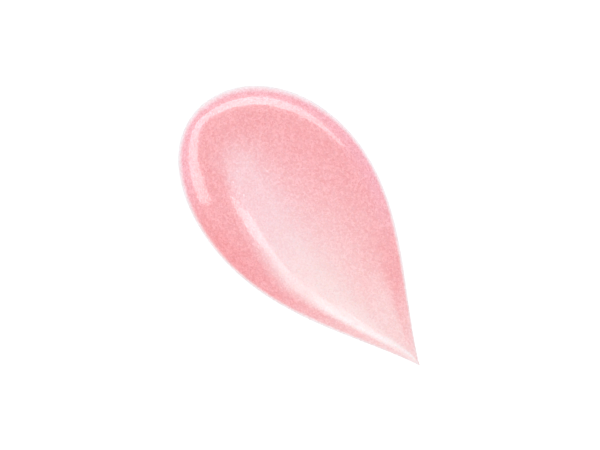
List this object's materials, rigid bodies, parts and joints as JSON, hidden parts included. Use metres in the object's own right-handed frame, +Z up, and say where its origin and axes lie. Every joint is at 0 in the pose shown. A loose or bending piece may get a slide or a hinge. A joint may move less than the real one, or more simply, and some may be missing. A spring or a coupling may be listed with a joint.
{
  "type": "lip gloss drop",
  "caption": "Teardrop dollop of shimmering pink lip gloss: a thick round head, a tail drawn out to a point, and pearl platelets suspended in the gel.",
  "frame": {"origin": "on the flat underside, under the middle of the bounding box", "axes": "+X from the round head to the point of the tail, +Z up from the surface that the gloss lies on"},
  "size_m": [0.0284, 0.0148, 0.002],
  "materials": {
    "gloss_gel": "wet high gloss over a fine pearl shimmer",
    "silver_pearl": "pearly",
    "rose_pearl": "pearly",
    "gold_pearl": "pearly"
  },
  "bodies": {
    "root": {"gloss_gel": "gloss_gel", "silver_pearl": "silver_pearl", "rose_pearl": "rose_pearl", "gold_pearl": "gold_pearl"}
  },
  "joints": []
}
